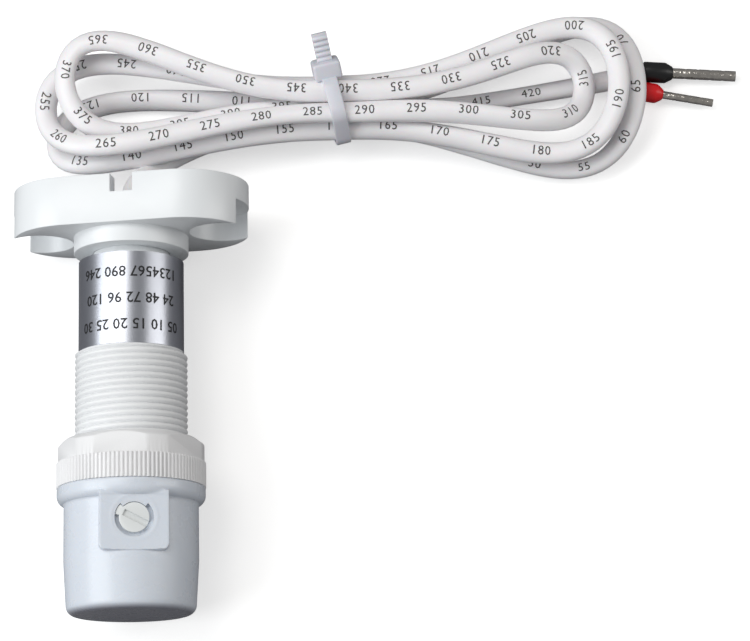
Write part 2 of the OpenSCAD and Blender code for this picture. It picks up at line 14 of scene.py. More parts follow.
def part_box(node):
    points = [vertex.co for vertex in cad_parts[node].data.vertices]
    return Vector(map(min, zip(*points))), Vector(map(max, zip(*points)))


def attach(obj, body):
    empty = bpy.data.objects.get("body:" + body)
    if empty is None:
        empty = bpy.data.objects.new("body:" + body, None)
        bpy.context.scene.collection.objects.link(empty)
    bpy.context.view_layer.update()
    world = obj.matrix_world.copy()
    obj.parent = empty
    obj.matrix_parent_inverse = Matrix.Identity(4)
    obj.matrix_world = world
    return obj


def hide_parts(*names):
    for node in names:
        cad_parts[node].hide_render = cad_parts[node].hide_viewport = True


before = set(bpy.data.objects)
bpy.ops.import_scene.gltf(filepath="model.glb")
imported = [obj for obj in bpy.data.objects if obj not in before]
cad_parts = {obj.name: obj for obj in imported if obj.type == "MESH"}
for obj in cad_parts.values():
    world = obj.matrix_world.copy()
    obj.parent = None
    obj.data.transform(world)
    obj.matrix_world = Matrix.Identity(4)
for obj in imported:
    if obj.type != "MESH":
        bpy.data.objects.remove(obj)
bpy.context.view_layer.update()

# %% [markdown]
# ## Where things are
# The sensor lies on its side. Its own frame has Z along its axis, from the mounting face to the cap, as a
# lathe has, so that round pieces can be spun there. One matrix lays such a piece down where the packed
# model has it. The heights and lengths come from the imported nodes, so nothing is measured twice.

# %% Frames of the sensor
mm = 0.001
mount_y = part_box("mounting_base")[1].y
tube_low, tube_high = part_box("body_tube")
axis_z = (tube_low.z + tube_high.z) / 2
lay = Matrix.Translation((0, mount_y, axis_z)) @ Matrix.Rotation(math.radians(90), 4, "X")
head_turn = math.radians(-7.6)
lay_head = lay @ Matrix.Rotation(head_turn, 4, "Z")


def along(node):
    """Distances of a node's two ends from the mounting face, in metres."""
    low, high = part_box(node)
    return mount_y - high.y, mount_y - low.y


label_start, label_end = along("rating_label")
tube_start, tube_end = along("body_tube")
nut_start = along("lock_nut")[0]
cap_start, cap_end = along("sensor_cap")
print("cap from", round(cap_start / mm, 2), "to", round(cap_end / mm, 2), "mm from the mounting face")

# %% [markdown]
# ## Camera
# The photograph was taken from above with a long lens, a little from the cap's side. The focal length
# follows from how fast sizes shrink along the sensor. It is measured in pixels of the image, which is 750
# pixels wide, and the lens in millimetres follows from it for a sensor 36 mm wide.

# %% Camera
image_width = 750
focal_pixels = 2580
camera_data = bpy.data.cameras.new("camera")
camera_data.sensor_width = 36
camera_data.lens = camera_data.sensor_width * focal_pixels / image_width
camera = bpy.data.objects.new("camera", camera_data)
camera.location = (0.0369, -0.08373, 0.4138)
camera.rotation_euler = (math.radians(13.4), 0, math.radians(-1.255))
bpy.context.scene.collection.objects.link(camera)
bpy.context.scene.camera = camera
print("lens:", round(camera_data.lens, 1), "mm")

# %% [markdown]
# ## Shader maths
# A material's pattern is easier to read as an expression than as a list of nodes and links. This class
# wraps one socket, and an expression on it adds the Math nodes. Colours go through Mix nodes instead,
# because a Math node would turn them grey.


# %% Sockets that can be added and multiplied
class Signal:
    """One output of a material's nodes, which can be used in an expression."""

    def __init__(self, finish, socket):
        self.finish = finish
        self.socket = socket

    def maths(self, operation, first, second):
        return self.finish.node("ShaderNodeMath", {"operation": operation}, {0: first, 1: second})

    def __add__(self, other):
        return self.maths("ADD", self, other)

    def __mul__(self, other):
        return self.maths("MULTIPLY", self, other)

    __radd__ = __add__
    __rmul__ = __mul__


class Finish:
    """A material under construction. Uniform values go straight to the shader's own sockets."""

    def __init__(self, name, **uniform):
        self.material = bpy.data.materials.new(name)
        self.material.use_nodes = True
        self.tree = self.material.node_tree
        self.shader = self.tree.nodes["Principled BSDF"]
        for socket, value in uniform.items():
            self.shader.inputs[socket.replace("_", " ")].default_value = value

    def plug(self, socket, value):
        if isinstance(value, Signal):
            self.tree.links.new(value.socket, socket)
        else:
            socket.default_value = value

    def node(self, kind, settings=None, sockets=None, output=0):
        """Adds a node, sets it up, fills its sockets and returns one of its outputs."""
        made = self.tree.nodes.new(kind)
        for name, value in (settings or {}).items():
            setattr(made, name, value)
        for name, value in (sockets or {}).items():
            self.plug(made.inputs[name], value)
        return Signal(self, made.outputs[output])

    def where(self):
        return self.node("ShaderNodeTexCoord", output="Object")

    def noise(self, size, detail=2.0, place=None):
        """Soft blotches about size metres across, from 0 to 1."""
        place = place or self.where()
        return self.node("ShaderNodeTexNoise", {}, {"Vector": place, "Scale": 1 / size, "Detail": detail})

    def mix(self, share, first, second):
        return self.node("ShaderNodeMix", {"data_type": "RGBA"}, {0: share, 6: first, 7: second}, output=2)

    def spread(self, signal, low, high):
        """The signal between low and high, stretched from 0 to 1 and cut off there."""
        return self.node("ShaderNodeMapRange", {"clamp": True}, {0: signal, 1: low, 2: high})

    def bump(self, height, depth):
        """Dents of that depth in metres, where height goes from 0 to 1."""
        dents = self.node("ShaderNodeBump", {}, {"Height": height, "Distance": depth, "Strength": 1.0})
        self.plug(self.shader.inputs["Normal"], dents)

    def colour(self, value):
        self.plug(self.shader.inputs["Base Color"], value)

    def roughness(self, value):
        self.plug(self.shader.inputs["Roughness"], value)


def hex_colour(code):
    """A colour as it is seen on a screen, turned into the linear values that shaders use."""
    parts = [int(code[i:i + 2], 16) / 255 for i in (0, 2, 4)]
    return (*[c / 12.92 if c <= 0.04045 else ((c + 0.055) / 1.055) ** 2.4 for c in parts], 1.0)


def shade(colour, factor):
    return (*[min(c * factor, 1.0) for c in colour[:3]], 1.0)


# %% [markdown]
# ## Plastics
# A moulded plastic is hardly ever one flat colour. It has a faint cloudiness, a skin with an orange peel
# too fine to see by itself, and a polish that varies from place to place. Three noises of different sizes
# give that. The same recipe serves the base, the thread, the nut and the cap with other numbers.


# %% Moulded plastic
def moulded(name, colour, gloss, peel, peel_depth, cloud=0.03, **uniform):
    """Plastic from a mould: its colour, its roughness, and the size and depth of its skin's dents."""
    finish = Finish(name, **uniform)
    clouds = finish.noise(9 * mm, 3.0)
    finish.colour(finish.mix(clouds, shade(colour, 1 - cloud), shade(colour, 1 + cloud)))
    finish.roughness(gloss - 0.05 + finish.noise(2.5 * mm) * 0.1)
    finish.bump(finish.noise(peel, 3.0), peel_depth)
    return finish.material


white_plastic = moulded("white plastic", hex_colour("e9ecee"), 0.32, 1.1 * mm, 0.012 * mm)
thread_plastic = moulded("thread plastic", hex_colour("ecedee"), 0.42, 0.6 * mm, 0.008 * mm)
nut_plastic = moulded("nut plastic", hex_colour("e9e9ea"), 0.5, 0.35 * mm, 0.01 * mm)
dial_plastic = moulded("dial plastic", hex_colour("e3e6e6"), 0.4, 0.4 * mm, 0.006 * mm)
tie_nylon = moulded(
    "tie nylon", hex_colour("d3d4dc"), 0.35, 0.7 * mm, 0.008 * mm, 0.02,
    Subsurface_Weight=0.2, Subsurface_Scale=0.8 * mm)
black_plastic = moulded("black plastic", hex_colour("111214"), 0.38, 0.8 * mm, 0.006 * mm)
red_plastic = moulded("red plastic", hex_colour("e0141c"), 0.36, 0.8 * mm, 0.006 * mm)
print("plastics:", len(bpy.data.materials))

# %% [markdown]
# The cap is milky. Its colour falls off to dark grey at its flat end, and that darkening is painted shade.
# The share of the dark colour follows the distance along the axis, which is Y in the object's own
# coordinates.


# %% Milky plastic
def milky():
    finish = Finish(
        "milky plastic", Subsurface_Weight=0.2, Subsurface_Scale=1 * mm, Subsurface_Radius=(0.8, 1.0, 1.2))
    place_y = finish.node("ShaderNodeSeparateXYZ", {}, {"Vector": finish.where()}, output=1)
    end_y = mount_y - cap_end
    # Painted shade: the share of dark grey rises over the last 0.9 mm before the cap's flat end.
    end_painted_shade = finish.spread(place_y, end_y + 0.9 * mm, end_y + 0.1 * mm)
    clouds = finish.noise(9 * mm, 3.0)
    wall = finish.mix(clouds, hex_colour("d2d8e1"), hex_colour("dae0e8"))
    # The dark grey at the flat end is painted shade, not the plastic's own colour.
    finish.colour(finish.mix(end_painted_shade, wall, hex_colour("7d7e88")))
    finish.roughness(0.24 + finish.noise(2.5 * mm) * 0.08)
    finish.bump(finish.noise(1.6 * mm, 3.0), 0.002 * mm)
    return finish.material


milky_plastic = milky()
print("milky plastic fades over the last 0.9 mm before y =", round(mount_y - cap_end, 4))

# %% [markdown]
# ## Rubber, metal, foil and the inside
# What is inside the housing shows only if the part is opened, but it still gets its own finish. Rubber is
# dull with fine grain. Steel is metallic, with smears in its polish. The ferrules' pins are tin plate that a
# crimping tool has pressed into small squares, which a Voronoi pattern gives when it measures distance the
# square way. The foil of the label is drawn in one direction, so its grain is long round the body and very
# short along it.


# %% Rubber, metals, foil and circuit board
def rubber(name, colour):
    finish = Finish(name)
    finish.colour(finish.mix(finish.noise(3 * mm, 4.0), shade(colour, 0.8), shade(colour, 1.25)))
    finish.roughness(0.62 + finish.noise(1 * mm) * 0.2)
    finish.bump(finish.noise(0.25 * mm, 3.0), 0.02 * mm)
    return finish.material


def metal(name, colour, gloss, grain):
    finish = Finish(name, Metallic=1.0)
    smears = finish.noise(grain, 4.0)
    finish.colour(finish.mix(smears, shade(colour, 0.82), shade(colour, 1.1)))
    finish.roughness(gloss + smears * 0.14)
    finish.bump(finish.noise(grain / 5, 2.0), 0.01 * mm)
    return finish.material


def crimped(name, colour):
    """Tin plate pressed into small squares, with smears between them."""
    finish = Finish(name, Metallic=1.0)
    squares = finish.node(
        "ShaderNodeTexVoronoi", {"distance": "CHEBYCHEV"},
        {"Vector": finish.where(), "Scale": 1 / (0.8 * mm)})
    smears = finish.noise(0.7 * mm, 4.0)
    finish.colour(finish.mix(smears, shade(colour, 0.6), shade(colour, 1.15)))
    finish.roughness(0.14 + smears * 0.16)
    finish.bump(squares + smears * 0.4, 0.09 * mm)
    return finish.material


def drawn_foil(name, colour):
    """Satin foil with a grain that runs round the body."""
    finish = Finish(name, Metallic=1.0)
    stretched = finish.node("ShaderNodeMapping", {}, {"Vector": finish.where(), "Scale": (0.06, 1.0, 0.06)})
    grain = finish.noise(0.12 * mm, 3.0, stretched)
    finish.colour(finish.mix(grain, shade(colour, 0.94), shade(colour, 1.04)))
    finish.roughness(0.27 + grain * 0.1)
    finish.bump(grain, 0.0015 * mm)
    return finish.material


def lacquered_board(name, colour):
    """A green board, whose copper tracks show through the lacquer as lighter bands."""
    finish = Finish(name)
    tracks = finish.node("ShaderNodeTexBrick", {}, {
        "Vector": finish.where(), "Scale": 1 / (4 * mm), "Mortar Size": 0.02,
        "Color1": (0, 0, 0, 1), "Color2": (0, 0, 0, 1), "Mortar": (1, 1, 1, 1)})
    finish.colour(finish.mix(tracks, colour, shade(colour, 1.7)))
    finish.roughness(0.35 + finish.noise(2 * mm) * 0.1)
    return finish.material


seal_rubber = rubber("seal rubber", hex_colour("26262a"))
tin_plate = crimped("tin plate", hex_colour("d2cdc6"))
spring_steel = metal("spring steel", hex_colour("b9bbc0"), 0.24, 1.5 * mm)
can_metal = metal("can metal", hex_colour("c9cbce"), 0.3, 2 * mm)
label_foil = drawn_foil("label foil", hex_colour("b9bcc4"))
board_green = lacquered_board("board green", hex_colour("1f6b3c"))
chip_black = moulded("chip black", hex_colour("232326"), 0.55, 0.3 * mm, 0.01 * mm)
trimmer_blue = moulded("trimmer blue", hex_colour("2b4f97"), 0.45, 0.5 * mm, 0.01 * mm)
lens_clear = moulded("lens clear", hex_colour("c3cfde"), 0.12, 2 * mm, 0.004 * mm, 0.02)

node_finishes = {
    "mounting_base": white_plastic, "rear_plug": white_plastic, "retaining_ring": spring_steel,
    "cable_grommet": seal_rubber, "body_tube": thread_plastic, "rating_label": label_foil,
    "lock_nut": nut_plastic, "panel_gasket": seal_rubber, "sensor_cap": milky_plastic,
    "cap_seal": seal_rubber, "adjuster_dial": dial_plastic, "dial_seal": seal_rubber,
    "trimmer_body": trimmer_blue, "trimmer_rotor": dial_plastic, "circuit_board": board_green,
    "board_holder": chip_black, "photodiode": lens_clear, "control_chip": chip_black,
    "smoothing_capacitor": can_metal, "chip_resistors": chip_black, "switching_transistor": chip_black,
    "wire_terminal": white_plastic, "inner_wires": black_plastic,
    "cable_tie": tie_nylon, "wire_black": black_plastic, "wire_red": red_plastic,
    "ferrule_sleeve_black": black_plastic, "ferrule_sleeve_red": red_plastic,
    "ferrule_pin_black": tin_plate, "ferrule_pin_red": tin_plate}
for node, finish in node_finishes.items():
    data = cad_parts[node].data
    data.materials.clear()
    data.materials.append(finish)
print("nodes with a finish:", len(node_finishes))

# %% [markdown]
# ## Pieces
# A bmesh is finished as a piece in the same way each time: its normals are set, it becomes a mesh with
# smooth faces and sharp edges, it is hung under the empty of the body it rides on, and the imported nodes it
# stands for are hidden.


# %% Turn a bmesh into a piece
sharp_angle = math.radians(32)


def piece(name, bm, finish, body, replaces=(), outward=True):
    if outward:
        bmesh.ops.recalc_face_normals(bm, faces=bm.faces)
    data = bpy.data.meshes.new(name)
    bm.to_mesh(data)
    bm.free()
    data.shade_smooth()
    data.set_sharp_from_angle(angle=sharp_angle)
    data.materials.append(finish)
    made = bpy.data.objects.new(name, data)
    bpy.context.scene.collection.objects.link(made)
    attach(made, body)
    if replaces:
        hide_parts(*replaces)
    print(name, "has", sum(len(p.vertices) - 2 for p in data.polygons), "triangles")
    return made


# %% [markdown]
# ## The lead's route
# The lead leaves the neck, dips to the table, runs along it and is then tied into a hank of three long
# loops on each side of the tie. Each half loop leaves the tie level and straight, swings round and comes
# back to the next strand's place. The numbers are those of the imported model, where the same formula
# draws the hank with fewer points. A cosine takes the route out to the loop's tip and back, and a sine
# times a power of that cosine opens the loop and pinches it at the tie.

# %% Route of the lead
lead_width = 3.2
tie_at = (33.2, 49.7)
strand_pitch = lead_width + 0.5
strand_row = strand_pitch * math.sqrt(3) / 2
tie_inner_r = strand_pitch + lead_width / 2 + 0.05
tie_thickness = 0.9
bundle_middle = tie_inner_r + tie_thickness
waist_half = 2
strand_places = [(-0.5, -1), (0.5, -1), (-1, 0), (1, 0), (-0.5, 1), (0.5, 1), (0, 0)]
# Side, reach, rise, half width, pinch, and heights at three places along each half loop
half_loops = [
    (1, 50, 3.4, 11.3, 2.0, 1.6, 5.4, 1.6),
    (-1, 46.5, -2.9, 4.2, 2.0, 1.6, 1.6, 7.0),
    (1, 47, 3.4, 8.6, 2.2, 6.4, 8.4, 6.4),
    (-1, 48, 0.1, 6.3, 2.0, 4.8, 5.4, 10.6),
    (1, 41.5, 3, 4.9, 3.0, 9.4, 5.4, 9.4),
    (-1, 44.5, 4.2, 7.0, 2.2, 9.6, 9.0, 6.6)]
neck_exit = (0, mount_y / mm - 9, axis_z / mm)
# The free stretches before and after the tie
lead_points = [
    neck_exit, (0, 32, axis_z / mm), (0.4, 35, 10.6), (1.5, 37.6, 7.6), (3.2, 40, 4.6), (5.8, 42.6, 2.6),
    (10.7, 45.2, 1.7), (16.8, 47.2, 1.7), (21, 47.7, 2.4)]
tail_points = [
    (46.4, 49.8, 4.4), (51, 50.5, 2.6), (56, 51.3, 1.7), (62.7, 52.3, 1.6), (70, 53.4, 1.6),
    (75.5, 54.3, 1.6), (79.4, 55, 1.6)]


def ease(t):
    return (1 - math.cos(math.pi * t)) / 2


def strand_at(i):
    across, up = strand_places[i]
    return tie_at[1] + across * strand_pitch, bundle_middle + up * strand_row


def through_tie(i, side, run):
    y, z = strand_at(i)
    return (tie_at[0] + side * (waist_half + run), y, z)


def half_loop(i, count):
    side, reach, rise, half_width, pinch, *heights = half_loops[i]
    (from_y, from_z), (to_y, to_z) = strand_at(i), strand_at(i + 1)
    heights = [from_z, *heights, to_z]
    widest_angle = math.atan(math.sqrt(1 / pinch))
    widest = math.sin(widest_angle) * math.cos(widest_angle) ** pinch
    points = []
    for j in range(count + 1):
        t = j / count
        angle = math.pi * (t - 0.5)
        out = max(math.cos(angle), 0.0)
        quarter = min(int(t * 4), 3)
        swing = side * half_width / widest * math.sin(angle) * out ** pinch
        points.append((
            tie_at[0] + side * (waist_half + (reach - waist_half) * out),
            from_y + (to_y - from_y) * ease(t) + rise * out ** 2 + swing,
            heights[quarter] + (heights[quarter + 1] - heights[quarter]) * ease(t * 4 - quarter)))
    return points


def smooth_run(points, step):
    """A smooth line through given points, with a point about every step."""
    line = []
    points = [Vector(p) for p in points]
    padded = [2 * points[0] - points[1], *points, 2 * points[-1] - points[-2]]
    for a, b, c, d in zip(padded, padded[1:], padded[2:], padded[3:]):
        count = max(1, round((c - b).length / step))
        for j in range(count):
            t = j / count
            line.append(0.5 * (2 * b + t * (c - a) + t * t * (2 * a - 5 * b + 4 * c - d)
                               + t ** 3 * (3 * b - a - 3 * c + d)))
    return [*line, points[-1]]


def even_run(points, step):
    """The same line with its points a step apart."""
    line = [points[0]]
    gone = 0.0
    for a, b in zip(points, points[1:]):
        length = (b - a).length
        while gone + length >= step:
            a = a + (b - a) * ((step - gone) / length)
            line.append(a)
            length = (b - a).length
            gone = 0.0
        gone += length
    return [*line, points[-1]]


loop_points = 90
rough_step = 0.8
ring_every = 1.2
hank_points = [through_tie(0, -1, 0)]
for i in range(len(half_loops)):
    hank_points += half_loop(i, loop_points)
hank_points.append(through_tie(len(half_loops), 1, 0))
before_tie = [through_tie(0, -1, run * lead_width) for run in (2, 1, 0)]
route = smooth_run([*lead_points, *before_tie], rough_step)
route += [Vector(p) for p in hank_points[1:]]
after_tie = [through_tie(len(half_loops), 1, run * lead_width) for run in (0, 1, 2)]
route += smooth_run([*after_tie, *tail_points], rough_step)
route = [p * mm for p in even_run(route, ring_every)]
lead_length = sum((b - a).length for a, b in zip(route, route[1:]))
print("lead:", round(lead_length, 3), "m in", len(route), "points")

# %% [markdown]
# ## The lead
# It is a white sleeve shrunk over two cores side by side, so its section is an oval that turns slowly
# along the way. A curve with a round bevel can't do that. Here one ring is extruded again and again, and
# each time a matrix takes it to the next place, with the oval's turn for that place.


# %% Sweep a ring along a route
def directions(points):
    """The direction of travel at each point, averaged over both neighbours."""
    ends = [points[0], *points, points[-1]]
    return [(after - before).normalized() for before, after in zip(ends, ends[2:])]


def places_along(points, half_width, half_height, turn):
    """One matrix a point: X across, Y up and Z along, with the oval's size and its turn at that share."""
    matrices = []
    for i, (point, ahead) in enumerate(zip(points, directions(points))):
        across = Vector((0, 0, 1)).cross(ahead).normalized()
        axes = Matrix((across, ahead.cross(across), ahead)).transposed().to_4x4()
        spin = Matrix.Rotation(turn(i / (len(points) - 1)), 4, "Z")
        size = Matrix.Diagonal((half_width, half_height, 1, 1))
        matrices.append(Matrix.Translation(point) @ axes @ spin @ size)
    return matrices


def sweep(matrices, sides):
    bm = bmesh.new()
    bmesh.ops.create_circle(bm, segments=sides, radius=1, cap_ends=True, matrix=matrices[0])
    ring = list(bm.edges)
    for before, after in zip(matrices, matrices[1:]):
        grown = bmesh.ops.extrude_edge_only(bm, edges=ring)["geom"]
        points = [g for g in grown if isinstance(g, bmesh.types.BMVert)]
        ring = [g for g in grown if isinstance(g, bmesh.types.BMEdge) and set(g.verts) <= set(points)]
        bmesh.ops.transform(bm, matrix=after @ before.inverted(), verts=points)
    bmesh.ops.contextual_create(bm, geom=ring)
    return bm


# %% Sleeve of the lead
sleeve = Finish("white sleeve", Subsurface_Weight=0.1, Subsurface_Scale=0.8 * mm)
sleeve_colour = hex_colour("f0eef0")
sleeve.colour(sleeve.mix(sleeve.noise(6 * mm, 3.0), shade(sleeve_colour, 0.96), shade(sleeve_colour, 1.04)))
sleeve.roughness(0.36 + sleeve.noise(3 * mm) * 0.12)
sleeve.bump(sleeve.noise(2.2 * mm, 2.0), 0.05 * mm)

oval_half_width = 1.85 * mm
oval_half_height = 1.42 * mm


def slow_turn(share):
    """The oval's angle at that share of the length, from two waves that don't keep step."""
    return 0.5 * math.sin(37 * share) + 0.35 * math.sin(81 * share + 1)


lead_frames = places_along(route, oval_half_width, oval_half_height, slow_turn)
lead = piece(
    "lead", sweep(lead_frames, 20), sleeve.material, "base",
    ("cord_lead", "cord_hank", "cord_tail"))

# %% [markdown]
# ## Prints
# The foil and the lead carry print. A plain font writes rows of numbers, and the flat letters are cut by a
# grid of planes into small faces, so that they can follow a curved surface. A function then says where on
# the surface each point of the letters goes. A digit is about three quarters as tall as the font's size.


# %% Letters wrapped on a surface
digit_share = 0.73


def flat_print(text, height, bold=0.0):
    """The text as a flat mesh in metres, centred, with digits as tall as height."""
    curve = bpy.data.curves.new("print", "FONT")
    curve.body = text
    curve.align_x = "CENTER"
    curve.align_y = "CENTER"
    curve.size = height / digit_share
    curve.offset = bold
    curve.resolution_u = 2
    holder = bpy.data.objects.new("print", curve)
    bm = bmesh.new()
    data = bpy.data.meshes.new_from_object(holder)
    bm.from_mesh(data)
    bpy.data.objects.remove(holder)
    bpy.data.curves.remove(curve)
    bpy.data.meshes.remove(data)
    return bm


def cut_by_grid(bm, step_x, step_y):
    """Cuts flat letters along lines a step apart in both directions."""
    for axis, step in ((0, step_x), (1, step_y)):
        values = [v.co[axis] for v in bm.verts]
        normal = Vector((1 - axis, axis, 0))
        for k in range(math.ceil(min(values) / step), math.floor(max(values) / step) + 1):
            everything = [*bm.verts, *bm.edges, *bm.faces]
            bmesh.ops.bisect_plane(bm, geom=everything, plane_co=normal * k * step, plane_no=normal)
    return bm


def add_copy(target, bm):
    """Adds one bmesh to another by way of a mesh."""
    data = bpy.data.meshes.new("part")
    bm.to_mesh(data)
    bm.free()
    target.from_mesh(data)
    bpy.data.meshes.remove(data)


# %% [markdown]
# ## Print on the lead
# The lead has plain length marks, one every few millimetres, on the upper side of the sleeve. They could be
# a picture wrapped round it, but letters of real geometry stay sharp from close by. Each digit is made once
# and copied, and the copy's points are placed by the same matrices as the sleeve's rings, so they turn and
# bend with it.

# %% Length marks
ink = moulded("grey ink", hex_colour("4b4745"), 0.55, 0.2 * mm, 0.002 * mm, 0.1)
mark_height = 1.5 * mm
digit_pitch = 1.15 * mm
mark_every = 8.5 * mm
mark_lift = 0.03 * mm
marks_bm = bmesh.new()
ring_step = lead_length / (len(route) - 1)


def on_sleeve(run, round_it):
    """A point on the sleeve: a distance along it, and a distance round it from its top."""
    place = min(max(run / ring_step, 0), len(lead_frames) - 1.001)
    i = int(place)
    share = run / lead_length
    angle = math.pi / 2 - slow_turn(share) + round_it / ((oval_half_width + oval_half_height) / 2)
    lift = 1 + mark_lift / oval_half_height
    flat = Vector((math.cos(angle) * lift, math.sin(angle) * lift, 0, 1))
    return (lead_frames[i] @ flat).lerp(lead_frames[i + 1] @ flat, place - i).to_3d()


first_mark = 3
mark_value = 5
digits = {d: cut_by_grid(flat_print(d, mark_height), 0.5 * mm, 0.3 * mm) for d in "0123456789"}
for k in range(first_mark, int(lead_length / mark_every)):
    text = str(k * mark_value)
    for i, digit in enumerate(text):
        run = k * mark_every + (i - (len(text) - 1) / 2) * digit_pitch
        mark = digits[digit].copy()
        for v in mark.verts:
            v.co = on_sleeve(run + v.co.x, -v.co.y)
        add_copy(marks_bm, mark)
for mark in digits.values():
    mark.free()
piece("length_marks", marks_bm, ink, "base", outward=False)

# %% [markdown]
# ## Turned pieces
# The cap, the threaded body and the label are round, so they are spun from an outline in the sensor's own
# frame and then laid down. An arc is written with its middle, its radius and its two angles.


# %% Spin an outline
def arc(middle, radius, start, end, count):
    return [
        (middle[0] + radius * math.cos(math.radians(start + (end - start) * i / count)),
         middle[1] + radius * math.sin(math.radians(start + (end - start) * i / count)))
        for i in range(count + 1)]


def stretch(start, end, count):
    """Points from start towards end, without the end itself."""
    return [
        (start[0] + (end[0] - start[0]) * i / count, start[1] + (end[1] - start[1]) * i / count)
        for i in range(count)]


def turned(outline, steps):
    """A closed outline of radius and distance, spun once round the axis."""
    bm = bmesh.new()
    verts = [bm.verts.new((radius, 0, z)) for radius, z in outline]
    edges = [bm.edges.new(pair) for pair in zip(verts, [*verts[1:], verts[0]])]
    bmesh.ops.spin(
        bm, geom=[*verts, *edges], cent=(0, 0, 0), axis=(0, 0, 1), dvec=(0, 0, 0),
        angle=2 * math.pi, steps=steps, use_merge=True)
    bmesh.ops.remove_doubles(bm, verts=bm.verts, dist=0.001 * mm)
    return bm


def cut_away(bm, cutter):
    """The first solid less the second one."""
    solids = []
    for name, source in (("solid", bm), ("cutter", cutter)):
        bmesh.ops.recalc_face_normals(source, faces=source.faces)
        data = bpy.data.meshes.new(name)
        source.to_mesh(data)
        source.free()
        holder = bpy.data.objects.new(name, data)
        bpy.context.scene.collection.objects.link(holder)
        solids.append(holder)
    solid, tool = solids
    difference = solid.modifiers.new("cut", "BOOLEAN")
    difference.operation = "DIFFERENCE"
    difference.solver = "EXACT"
    difference.object = tool
    evaluated = solid.evaluated_get(bpy.context.evaluated_depsgraph_get())
    result = bmesh.new()
    result.from_mesh(bpy.data.meshes.new_from_object(evaluated))
    for holder in solids:
        bpy.data.objects.remove(holder)
    return result


# %% [markdown]
# ## Cap
# The cap's side is a smooth round wall with a soft shoulder and a soft end edge. The flat pad round the
# dial grows out of it, so each point of the wall is moved out to whichever is further from the axis, the
# wall or the pad, with a small fillet where they meet. A faint raised ring lies round the dial.

# %% Cap
crest_r = (tube_high.x - tube_low.x) / 2
cap_bore_r = crest_r + 0.05 * mm
cap_low, cap_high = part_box("sensor_cap")
collar_r = (cap_high.x - cap_low.x) / 2
collar_end = cap_start + 2.8 * mm
cap_r = cap_bore_r + 1.6 * mm
end_r = cap_r - 0.4 * mm
cap_wall = 1.5 * mm
shoulder_r = 1.5 * mm
collar_edge_r = 0.4 * mm
fillet_r = 0.7 * mm
end_edge_r = 1.5 * mm
pad_h = cap_r + 0.15 * mm
pad_half = 5.35 * mm
pad_end = collar_end + 8.45 * mm
pad_corner = 1.1 * mm
pad_slope = 7
dial_z = collar_end + 3.4 * mm
pad_edge_soft = 0.3 * mm
pad_end_soft = 0.25 * mm
pad_foot_soft = 0.2 * mm
dial_ring_r = 3.55 * mm
dial_ring_w = 0.2 * mm
dial_ring_rise = 0.04 * mm
body_end = cap_start + 2.6 * mm
cap_steps = 480

# The wall has more points near the pad's end, where the pad drops to it
fillet_z = collar_end + 0.35 * mm
wall_start = collar_end + 0.5 * mm
fine_start = pad_end - 0.7 * mm
fine_end = pad_end + 0.4 * mm
cap_outline = [
    (cap_bore_r, cap_start),
    *arc((collar_r - collar_edge_r, cap_start + collar_edge_r), collar_edge_r, -90, 0, 5),
    *arc((collar_r - shoulder_r, collar_end - shoulder_r), shoulder_r, 0, 66, 9),
    *arc((cap_r + fillet_r, fillet_z), fillet_r, 228, 180, 5),
    *stretch((cap_r, wall_start), (cap_r, fine_start), 30),
    *stretch((cap_r, fine_start), (cap_r, fine_end), 11),
    *stretch((cap_r, fine_end), (end_r, cap_end - end_edge_r), 8),
    *arc((end_r - end_edge_r, cap_end - end_edge_r), end_edge_r, 0, 90, 9),
    *stretch((end_r - end_edge_r, cap_end), (0, cap_end), 6)[1:],
    (0, cap_end), (0, cap_end - cap_wall), (end_r - cap_wall, cap_end - cap_wall), (cap_bore_r, body_end)]


def soft_max(a, b, k):
    """The larger of both, with a fillet where they are less than k apart."""
    share = max(k - abs(a - b), 0) / k
    return max(a, b) + share * share * k / 4


def soft_min(a, b, k):
    return -soft_max(-a, -b, k)


def pad_reach(theta, z, wall):
    """How far the pad reaches from the axis, in the direction theta from the pad's middle."""
    half = pad_half
    if z > pad_end - pad_corner:
        into = min((z - pad_end) / pad_corner + 1, 1)
        half -= pad_corner * (1 - math.sqrt(1 - into * into))
    side = half / max(abs(math.sin(theta)), 0.01)
    face = pad_h / math.cos(theta)
    across = face * math.sin(theta)
    from_dial = math.hypot(across, z - dial_z)
    face += dial_ring_rise * math.exp(-((from_dial - dial_ring_r) / dial_ring_w) ** 2)
    reach = soft_min(face, side, pad_edge_soft)
    return soft_min(reach, wall + pad_slope * (pad_end - z), pad_end_soft)


cap_bm = turned(cap_outline, cap_steps)
for v in cap_bm.verts:
    theta = math.atan2(v.co.x, v.co.y)
    wall = math.hypot(v.co.x, v.co.y)
    on_outside = wall > cap_bore_r + 0.5 * mm and collar_end - 0.9 * mm < v.co.z < pad_end + 0.5 * mm
    if on_outside and abs(theta) < math.pi / 4:
        reach = soft_max(wall, pad_reach(theta, v.co.z, wall), pad_foot_soft)
        v.co = Vector((math.sin(theta) * reach, math.cos(theta) * reach, v.co.z))

# %% [markdown]
# The recess for the dial is cut last. It is round, with a stop that takes a quarter of it, and a smaller
# bore for the dial's stem goes on through the wall.

# %% Recess in the cap
recess_r = 3.02 * mm
stop_r = 2.4 * mm
recess_deep = 0.8 * mm
stem_r = 1.27 * mm
stem_deep = 3 * mm
cut_over = 0.8 * mm
at_dial = Matrix.Translation((0, pad_h, dial_z)) @ Matrix.Rotation(math.radians(-90), 4, "X")


def upright(outline, low, high):
    """A solid over an outline in the dial's frame, whose Z leads out of the pad."""
    bm = bmesh.new()
    face = bm.faces.new([bm.verts.new((x, y, low)) for x, y in outline])
    risen = bmesh.ops.extrude_face_region(bm, geom=[face])["geom"]
    tops = [g for g in risen if isinstance(g, bmesh.types.BMVert)]
    bmesh.ops.translate(bm, verts=tops, vec=(0, 0, high - low))
    bmesh.ops.transform(bm, matrix=at_dial, verts=bm.verts)
    return bm


